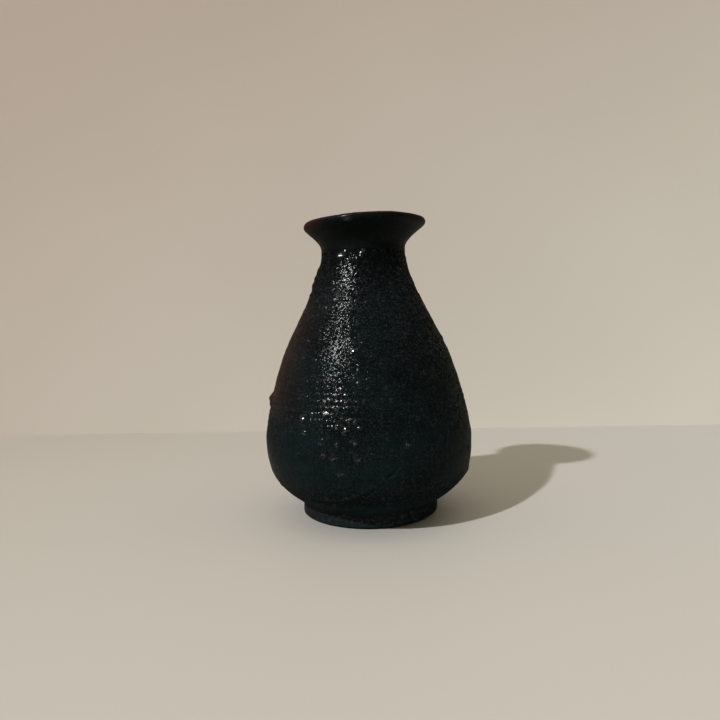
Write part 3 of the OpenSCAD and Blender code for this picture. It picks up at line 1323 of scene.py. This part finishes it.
@dataclass
class Foot:
    """Foot ring and the slip that lutes it to the body.

    Attributes:
        sizes: Sizes of the pot.
        columns: Number of steps round the axis.
        step: Distance between neighbouring points of the ring's section.
        inner_bevel: Bevel at the ring's inner edge.
        groove_pitch: Distance between the lines of the trimming tool.
        groove_depth: Depth of those lines.
    """

    sizes: PotSizes
    columns: int = 256
    step: float = 0.25
    inner_bevel: float = 0.5
    groove_pitch: float = 1.5
    groove_depth: float = 0.018

    def ring(self) -> bpy.types.Object:
        """Spins the ring of clay, with the lines of the trimming tool on its standing face.

        Returns:
            The ring.
        """
        s = self.sizes
        lean = math.tan(math.radians(s.body_lean))
        flat_in, flat_out = s.foot_in + self.inner_bevel, s.foot_r - s.foot_bevel
        inner = np.array([[s.foot_in, s.foot_h], [s.foot_in, self.inner_bevel], [flat_in, 0.0]])
        flat = np.stack([np.linspace(flat_in, flat_out, 24), np.zeros(24)], axis=-1)
        outer = np.array([[flat_out, 0.0], [s.foot_r, s.foot_bevel], [s.foot_r, s.foot_h]])
        section = Section.joined((even_steps(inner, self.step), 1.0), (flat, 1.0),
                                 (even_steps(outer, self.step), 1.0))
        piece = spun("foot_ring_clay", section, s.lean_frame, self.columns)
        places = corners(piece, Matrix.Identity(4))
        turn, ring = turn_and_radius(places)
        wander = 0.15 * np.sin(np.radians(turn))
        groove = self.groove_depth * (0.5 + 0.5 * np.sin(math.tau * (ring + wander) / self.groove_pitch))
        low = places[:, 2] < 1.0
        places[low, 2] = np.maximum(places[low, 2] + lean * places[low, 0], 0.0)
        standing = low & (places[:, 2] < 0.02)
        places[standing, 2] = groove[standing]
        set_corners(piece, Matrix.Identity(4), places)
        return piece

    def seam(self) -> bpy.types.Object:
        """Spins the slip in the joint, with the bead pressed into the inside corner.

        Returns:
            The slip.
        """
        s = self.sizes
        reach = 1.1 * s.slip_bead
        bead = sweep((s.foot_in - reach, s.base_z), heading(0), 0.5,
                     (s.foot_in, s.foot_h - reach), heading(-90), 0.5).stepped(0.1)
        back = np.array([[s.foot_in, s.foot_h], [s.foot_r, s.foot_h], [s.foot_r, s.base_z]])
        piece = spun("foot_seam_slip", Section.joined((bead, 1.0), (back, 0.0)), s.lean_frame, self.columns)
        press(piece, 2.6, 0.5, SHOWN)
        return piece


@dataclass
class Body:
    """Clay body, its liner and the gritty coat outside.

    Attributes:
        sizes: Sizes of the pot.
        hand: Its unevenness.
        coat_columns: Number of steps round the axis in the coat.
        clay_columns: The same in the clay and the liner.
        skin_step: Distance between neighbouring points of the coat's skin.
        hidden_step: The same on faces that are never seen.
        trim_pitch: Distance between the rings that trimming left under the floor.
        trim_depth: Depth of those rings.
        run_h: Height of the line that the coat ran down to on the foot.
        spiral_depth: How far the thrower's spiral in the hollow goes out and in.
        spiral_pitch: Distance between its turns.
        lit_turn: Direction from the axis in which the coat sparkles most.
    """

    sizes: PotSizes
    hand: HandThrown
    coat_columns: int = 456
    clay_columns: int = 192
    skin_step: float = 0.55
    hidden_step: float = 8.0
    trim_pitch: float = 2.4
    trim_depth: float = 0.22
    run_h: float = 0.55
    spiral_depth: float = 0.14
    spiral_pitch: float = 4.2
    lit_turn: float = -108.0

    def clay(self) -> bpy.types.Object:
        """Spins the clay, with the rings that trimming left under the floor.

        Returns:
            The clay.
        """
        s = self.sizes
        under = np.stack([np.linspace(0.0, s.foot_in, 70), np.full(70, s.base_z)], axis=-1)
        trimmed = 0.5 + 0.5 * np.cos(math.tau * under[:, 0] / self.trim_pitch)
        under[:, 1] += self.trim_depth * trimmed * fade(under[:, 0], s.foot_in - 1.5, s.foot_in - 3.5)
        outside = s.body_outside().stepped(2.0)
        inside = s.hollow().reversed().stepped(2.0)
        top = np.array([outside[-1], inside[0]])
        piece = spun("body_clay", Section.joined((under, 1.0), (outside, 0.0), (top, 0.0), (inside, 0.0)),
                     s.lean_frame, self.clay_columns)
        self.hand.bend_wall(piece)
        press(piece, 3.0, 0.18, SHOWN)
        return piece

    def coat(self) -> bpy.types.Object:
        """Spins the gritty coat from the bare line on the foot up to the throat.

        Returns:
            The coat.
        """
        s = self.sizes
        skin = s.body_outside().moved_right(s.glaze_t).points
        corner = math.radians(s.underside_angle)
        corner_z = s.base_z - s.glaze_t * (1 - math.sin(corner)) / math.cos(corner)
        side_r = s.foot_r + s.glaze_t
        rounded = sweep((side_r - 0.45, self.run_h), heading(0), 0.6,
                        (side_r, self.run_h + 0.5), heading(90), 0.6)
        fillet = sweep((side_r - 0.05, corner_z - 0.6), heading(90), 0.5,
                       skin[4], (skin[5] - skin[4]) / np.linalg.norm(skin[5] - skin[4]), 0.4)
        face = even_steps(np.concatenate([rounded.points, fillet.points, skin[5:]]), self.skin_step)
        top = np.array([face[-1], [s.throat_r, s.throat_z]])
        hidden = s.body_outside().reversed().stepped(self.hidden_step)
        low = np.array([hidden[-1], [s.foot_r, self.run_h], [side_r - 0.45, self.run_h]])
        piece = spun("body_coat", Section.joined((face, 1.0), (top, 0.0), (hidden, 0.0), (low, 0.0)),
                     s.lean_frame, self.coat_columns)
        self.hand.bend_wall(piece)
        even, gritty = self.grit_groups(piece)
        press(piece, 14.0, 0.30, even)
        self.hand.mark_skin(piece)
        press(piece, 2.6, 0.10, gritty)
        press(piece, 1.2, 0.05, gritty)
        keep_tones(piece, self.tones(piece))
        return piece

    def grit_groups(self, piece: bpy.types.Object) -> tuple[str, str]:
        """Marks where the skin is uneven and where it is gritty.

        Args:
            piece: Spun coat of the body.

        Returns:
            The vertex group that holds for the whole skin, and the one that is weaker low down.
        """
        height, throat = corners(piece, self.sizes.lean_frame)[:, 2], self.sizes.throat_z
        even = skin_share(piece) * fade(height, throat - 0.5, throat - 5.5) * fade(height, 0.5, 2.5)
        gritty = even * (0.65 + 0.35 * fade(height, 20.0, 46.0))
        return keep_group(piece, "even", even), keep_group(piece, "gritty", gritty)

    def tones(self, piece: bpy.types.Object) -> dict[Tone, np.ndarray]:
        """Says where the coat is satin, dry, cool, thick, rusty, wet and sparkling; the rust on the lamp
        side is partly a painted sheen, and the cool tint on the foot and on ridge crests is partly painted
        light.

        Args:
            piece: Spun coat of the body.

        Returns:
            One value a vertex for each tone.
        """
        places = corners(piece, self.sizes.lean_frame)
        height = places[:, 2]
        turn, radius = turn_and_radius(places)
        drops = self.hand.drop_share(turn, height, radius)
        low = 0.55 * fade(height, 44.0, 22.0)
        foot = fade(height, 5.0, 3.8)
        dry = 0.85 * fade(height, 20.0, 12.0) * (1.0 - 0.60 * foot)
        patch = 0.5 + 0.5 * np.sin(np.radians(2.3 * turn + 250) + 0.25 * height)
        waved = height + 0.6 * np.sin(np.radians(5 * turn))
        cool = low * (0.75 + 0.25 * patch) * fade(height, 7.0, 12.0)
        # Paler tint on the foot (these two lines, all but the bell at mid height): partly the glaze's own
        # tone, partly painted fill light where the belly shades the foot, kept low on the lamp-lit bottom
        # edge.
        cool += (0.05 + 0.15 * patch) * fade(waved, 3.6, 1.8)
        cool += (1.10 + 0.60 * patch) * fade(height, 12.0, 8.0) + 0.22 * bell(height - 52.0, 18.0)
        # Paler tint on ridge crests: partly glaze breaking thin there, partly painted light on the crest's
        # lit top.
        cool += 0.45 * self.hand.crests(turn, height, radius)
        # Brown high on the left flank and low at the heel, on the lamp side: partly iron rust, partly a
        # painted sheen of grazing light.
        painted_sheen_and_rust_flank = bell(turn_gap(turn, -174.0), 28.0) * fade(height, 34.0, 48.0) * fade(height, 86.0, 76.0)
        heel = bell(turn_gap(turn, -172.0), 30.0) * fade(height, 24.0, 14.0)
        lit = bell(turn_gap(turn, self.lit_turn), 24.0)
        spark = 0.75 * fade(height, 72.0, 82.0) + 1.3 * bell(height - 44.0, 8.0)
        return {
            Tone.SATIN: low * (1.0 - dry) * (1.0 - foot),
            Tone.DRY: dry,
            Tone.COOL: cool,
            Tone.THICK: fade(height, 78.0, 96.0),
            Tone.RUST_AND_SHEEN: 0.9 * painted_sheen_and_rust_flank + 0.3 * heel + 0.14 * fade(height, 9.0, 5.0),
            Tone.WET: np.maximum(0.3 * drops, self.hand.flake.cover(turn, height, radius)),
            Tone.SPARK: 0.92 + spark * lit + 0.45 * foot + 8.0 * drops,
        }

    def liner(self) -> bpy.types.Object:
        """Spins the liner that was poured into the hollow, over the spiral that the thrower left.

        Returns:
            The liner.
        """
        s = self.sizes
        hollow = s.hollow()
        face = hollow.moved_right(-s.glaze_t).reversed().stepped(1.0)
        top = np.array([face[0], hollow.points[-1]])
        hidden = hollow.stepped(self.hidden_step)
        piece = spun("hollow_liner", Section.joined((face, 1.0), (hidden, 0.0), (top[::-1], 0.0)),
                     s.lean_frame, self.clay_columns)
        self.hand.bend_wall(piece)
        frame = s.lean_frame
        places, normals, share = corners(piece, frame), outward(piece, frame), skin_share(piece)
        height = places[:, 2]
        turn, _ = turn_and_radius(places)
        spiral = self.spiral_depth * np.sin(math.tau * (height / self.spiral_pitch + turn / 360.0))
        spiral *= fade(height, 12.0, 20.0) * fade(height, s.throat_z - 2.0, s.throat_z - 8.0)
        set_corners(piece, frame, places + normals * (spiral * share)[:, None])
        keep_tones(piece, {})
        return piece


@dataclass
class Mouth:
    """Flared mouth collar and the second, smoother coat over it.

    Attributes:
        sizes: Sizes of the pot.
        hand: Its unevenness.
        columns: Number of steps round the axis in the coat.
        clay_columns: The same in the clay.
        skin_step: Distance between neighbouring points of the coat's skin.
        lap: How far the coat laps over the coat below.
        lap_t: How far it stands out there.
        glint_turn: Direction from the axis of the wet place on the lip.
    """

    sizes: PotSizes
    hand: HandThrown
    columns: int = 456
    clay_columns: int = 192
    skin_step: float = 0.4
    lap: float = 0.9
    lap_t: float = 0.03
    glint_turn: float = -103.5

    def clay(self) -> bpy.types.Object:
        """Spins the clay of the collar.

        Returns:
            The clay.
        """
        s = self.sizes
        piece = spun("mouth_collar_clay", Section.joined((s.mouth_outside().stepped(0.8), 0.0)),
                     s.mouth_frame, self.clay_columns)
        self.hand.bend_mouth(piece)
        return piece

    def coat(self) -> bpy.types.Object:
        """Spins the coat over the flare, the lip and the funnel, lapped a little over the coat below.

        Returns:
            The coat.
        """
        s = self.sizes
        clay = s.mouth_outside()
        skin = clay.moved_right(s.glaze_t).points
        out_r, in_r = s.throat_r + s.glaze_t, s.bore_r - s.glaze_t
        lapped = np.array([[out_r - 0.04, -self.lap], [out_r + self.lap_t, 0.3 - self.lap],
                           [out_r + self.lap_t, 0.6 - self.lap], [out_r + 0.5 * self.lap_t, 0.0]])
        face = even_steps(np.concatenate([lapped, skin[3:], [[in_r, 0.0]]]), self.skin_step)
        hidden = clay.reversed().stepped(4.0)
        low = np.array([[s.bore_r, 0.0]])
        back = np.array([[s.throat_r, 0.0], [s.throat_r + 0.2, -0.2]])
        piece = spun("mouth_coat", Section.joined((face, 1.0), (low, 0.0), (hidden, 0.0), (back, 0.0)),
                     s.mouth_frame, self.columns)
        self.hand.bend_mouth(piece)
        press(piece, 6.0, 0.22, SHOWN)
        press(piece, 1.6, 0.14, SHOWN)
        keep_tones(piece, self.tones(piece))
        return piece

    def tones(self, piece: bpy.types.Object) -> dict[Tone, np.ndarray]:
        """Says where the coat is cool, thick and wet, and where it ran thin and brown along the lip.

        Args:
            piece: Spun coat of the mouth.

        Returns:
            One value a vertex for each of those tones.
        """
        s = self.sizes
        places = corners(piece, s.mouth_frame)
        height = places[:, 2]
        turn, radius = turn_and_radius(places)
        round_r, round_h = s.lip_r - s.lip_round, s.lip_h - s.lip_round
        away = np.hypot(radius - round_r, height - round_h)
        climb = np.degrees(np.arctan2(height - round_h, radius - round_r))
        ends = fade(np.abs(np.cos(np.radians(turn))), 0.55, 0.85)
        edge = 0.9 * fade(climb, 28.0, 44.0) * fade(away, 2.4, 1.8)
        return {
            Tone.COOL: fade(height, 3.0, 0.0),
            Tone.THICK: fade(height, 9.0, 5.0),
            Tone.RUST_AND_SHEEN: np.maximum(edge, ends * fade(away, 2.9, 1.2)),
            Tone.WET: bell(turn_gap(turn, self.glint_turn), 3.5) * fade(away, 1.75, 1.45),
        }


@dataclass
class Studio:
    """Floor and backdrop with a painted light falloff across them, light and camera.

    Attributes:
        focal_px: Focal length of the camera, in pixels of the picture.
        frame_px: Width of the picture, in pixels.
        camera_place: Place of the camera.
        pitch: How far the camera looks down.
        roll: How far it is turned about its view.
        wall_y: How far the backdrop stands behind the pot.
        lamp_turn: Direction of the lamp, from the front to the left.
        lamp_rise: Height of the lamp above the horizontal, as an angle.
        lamp_away: Distance of the lamp.
        lamp_size: Width of the lamp.
        lamp_power: Power of the lamp, in watts.
        lamp_tint: Colour of the lamp.
        floor_shaded: Colour of the floor where its painted light falloff is darkest.
        floor_lit: Its colour where that painted light is brightest.
        floor_light_falloff: How fast the painted light brightens per metre along X and along Y, and its
            level at the origin.
        wall_size: Width and height of the backdrop, in metres.
        wall_shaded: Colour of the backdrop where its painted light falloff is darkest.
        wall_lit: Its colour where that painted light is brightest.
        wall_light_falloff: As floor_light_falloff, along the backdrop.
        room_low: Soft light from the front and from below.
        room_high: Soft light from behind and from above.
        mirrored_low: What a glossy face mirrors of the first.
        mirrored_high: What it mirrors of the second.
        room_seen: The room where the camera sees it.
    """

    focal_px: float = 584.85
    frame_px: int = 720
    camera_place: tuple[float, float, float] = (-2.92, -229.4, 71.9)
    pitch: float = 3.27
    roll: float = 0.88
    wall_y: float = 174.5
    lamp_turn: float = 46.9
    lamp_rise: float = 40.5
    lamp_away: float = 3500.0
    lamp_size: float = 110.0
    lamp_power: float = 104.0
    lamp_tint: Colour = (1.0, 0.985, 0.97)
    floor_shaded: Colour = (0.447, 0.4215, 0.3855)
    floor_lit: Colour = (0.5645, 0.5685, 0.5685)
    floor_light_falloff: tuple[float, float, float] = (1.667, -1.083, 0.5)
    wall_size: tuple[float, float] = (1.2, 0.8)
    wall_shaded: Colour = (0.406, 0.331, 0.283)
    wall_lit: Colour = (0.757, 0.736, 0.673)
    wall_light_falloff: tuple[float, float, float] = (1.02, -1.85, 0.778)
    room_low: Colour = (0.068, 0.063, 0.050)
    room_high: Colour = (0.91, 0.80, 0.55)
    mirrored_low: Colour = (0.045, 0.047, 0.048)
    mirrored_high: Colour = (0.56, 0.59, 0.60)
    room_seen: Colour = (0.52, 0.485, 0.43)

    def camera(self) -> None:
        """Sets up the camera at the viewing angle of the photograph."""
        data = bpy.data.cameras.new("camera")
        data.sensor_width = 36.0
        data.lens = self.focal_px / self.frame_px * data.sensor_width
        data.clip_start, data.clip_end = 0.01, 20.0
        camera = bpy.data.objects.new("camera", data)
        p, r = math.radians(self.pitch), math.radians(self.roll)
        flat, rise = Vector((1, 0, 0)), Vector((0, math.sin(p), math.cos(p)))
        right = flat * math.cos(r) - rise * math.sin(r)
        up = flat * math.sin(r) + rise * math.cos(r)
        turn = Matrix((right, up, right.cross(up))).transposed().to_4x4()
        camera.matrix_world = Matrix.Translation(Vector(self.camera_place) * MM) @ turn
        bpy.context.scene.collection.objects.link(camera)
        bpy.context.scene.camera = camera

    def lamp(self) -> None:
        """Hangs the soft lamp in front, to the left."""
        data = bpy.data.lights.new("lamp", "AREA")
        data.shape = "DISK"
        data.size = self.lamp_size * MM
        data.energy = self.lamp_power
        data.color = self.lamp_tint
        lamp = bpy.data.objects.new("lamp", data)
        a, e = math.radians(self.lamp_turn), math.radians(self.lamp_rise)
        way = Vector((-math.sin(a) * math.cos(e), -math.cos(a) * math.cos(e), math.sin(e)))
        lamp.location = way * self.lamp_away * MM
        lamp.rotation_mode = "QUATERNION"
        lamp.rotation_quaternion = way.to_track_quat("Z", "Y")
        bpy.context.scene.collection.objects.link(lamp)

    def sheet_material(self, name: str, deep: Colour, pale: Colour, slant: tuple[float, float, float],
                       one_sided: bool) -> bpy.types.Material:
        """Makes the pale paint of the floor or the backdrop, with a painted light falloff across it.

        Args:
            name: Name of the material.
            deep: Its colour where the painted light falloff is darkest.
            pale: Its colour where that painted light is brightest.
            slant: How fast the painted light brightens it per metre along X and along Y, and its level at
                the origin.
            one_sided: Whether it can be looked through from behind.

        Returns:
            The material.
        """
        made = bpy.data.materials.new(name)
        made.use_nodes = True
        sheet = NodeSheet(made.node_tree)
        place = sheet.add("ShaderNodeTexCoord").outputs["Object"]
        cloud = sheet.add("ShaderNodeTexNoise", {"Vector": place, "Scale": 6.0, "Detail": 2.0})
        along = sheet.add("ShaderNodeVectorMath", {0: place, 1: (*slant[:2], 0.0)}, operation="DOT_PRODUCT")
        start = sheet.span(cloud.outputs["Fac"], 0.3, 0.7, slant[2] - 0.02, slant[2] + 0.02)
        # Painted light falloff: the colour runs from the shaded to the lit colour along the slant, with a
        # faint cloud in it.
        tone = sheet.blend(sheet.math("ADD", along.outputs["Value"], start), deep, pale)
        paint = sheet.add("ShaderNodeBsdfPrincipled", {"Base Color": tone, "Roughness": 0.6,
                                                       "Specular IOR Level": PLAIN_GLOSS})
        surface = paint.outputs[0]
        if one_sided:
            behind = sheet.add("ShaderNodeNewGeometry").outputs["Backfacing"]
            clear = sheet.add("ShaderNodeBsdfTransparent").outputs[0]
            surface = sheet.add("ShaderNodeMixShader", {0: behind, 1: surface, 2: clear}).outputs[0]
        sheet.add("ShaderNodeOutputMaterial", {"Surface": surface})
        return made

    def floor_and_wall(self) -> None:
        """Lays the floor and stands the backdrop behind the pot."""
        bpy.ops.object.select_all(action="DESELECT")
        bpy.ops.mesh.primitive_plane_add(size=6.0, location=(0, 0, 0))
        floor = bpy.context.object
        floor.name = "floor"
        floor.data.materials.append(self.sheet_material("floor_paint_and_painted_light", self.floor_shaded, self.floor_lit,
                                                        self.floor_light_falloff, False))
        bpy.ops.object.select_all(action="DESELECT")
        bpy.ops.mesh.primitive_plane_add(size=1.0, location=(0, self.wall_y * MM, 0.0),
                                         rotation=(math.radians(90), 0, 0))
        wall = bpy.context.object
        wall.name = "backdrop"
        bpy.ops.object.mode_set(mode="EDIT")
        bpy.ops.mesh.select_all(action="SELECT")
        bpy.ops.transform.resize(value=(self.wall_size[0], 1.0, self.wall_size[1]))
        bpy.ops.transform.translate(value=(0, 0, 0.5 * self.wall_size[1]))
        bpy.ops.object.mode_set(mode="OBJECT")
        wall.data.materials.append(self.sheet_material("wall_paint_and_painted_light", self.wall_shaded, self.wall_lit,
                                                       self.wall_light_falloff, True))

    def world(self) -> None:
        """Surrounds the pot with plain soft light, brighter from above than from the front."""
        world = bpy.data.worlds.new("room")
        world.use_nodes = True
        sheet = NodeSheet(world.node_tree)
        way = sheet.add("ShaderNodeTexCoord").outputs["Generated"]
        parts = sheet.add("ShaderNodeSeparateXYZ", {0: way})
        lean = sheet.math("MULTIPLY_ADD", parts.outputs["Y"], 0.45, parts.outputs["Z"])
        share = sheet.span(lean, 0.0, 1.05)
        soft = sheet.blend(share, self.room_low, self.room_high)
        mirrored = sheet.blend(share, self.mirrored_low, self.mirrored_high)
        ray = sheet.add("ShaderNodeLightPath").outputs
        soft = sheet.blend(ray["Is Glossy Ray"], soft, mirrored)
        tone = sheet.blend(ray["Is Camera Ray"], soft, self.room_seen)
        light = sheet.add("ShaderNodeBackground", {"Color": tone, "Strength": 1.0})
        sheet.add("ShaderNodeOutputWorld", {"Surface": light.outputs[0]})
        bpy.context.scene.world = world

    def set_up(self) -> None:
        """Builds the whole studio."""
        bpy.context.scene.view_settings.view_transform = "Standard"
        self.camera()
        self.lamp()
        self.floor_and_wall()
        self.world()


def main() -> None:
    """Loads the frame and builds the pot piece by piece."""
    logging.basicConfig(level=logging.INFO, format="%(name)s: %(message)s")
    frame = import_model()
    sizes = PotSizes()
    hand = HandThrown(sizes)
    shared = Finishes(grit_group(), drift_group())
    Studio().set_up()
    body_clay, slip = BODY_CLAY.material(shared), SLIP.material(shared)
    foot, body, mouth = Foot(sizes), Body(sizes, hand), Mouth(sizes, hand)
    dress(foot.ring(), FOOT_CLAY.material(shared), "foot_ring")
    dress(foot.seam(), slip, "foot_slip_seam")
    dress(body.clay(), body_clay, "body")
    dress(body.coat(), BODY_GLAZE.material(shared), "body_glaze")
    dress(body.liner(), INNER_GLAZE.material(shared), "inner_glaze")
    dress(mouth.clay(), body_clay, "mouth_collar")
    dress(mouth.coat(), MOUTH_GLAZE.material(shared), "mouth_glaze")
    seam = frame["nodes"]["neck_slip_seam"]
    seam.data.materials.clear()
    seam.data.materials.append(slip)
    log.info("neck_slip_seam: carried over as it is")


if __name__ == "__main__":
    main()
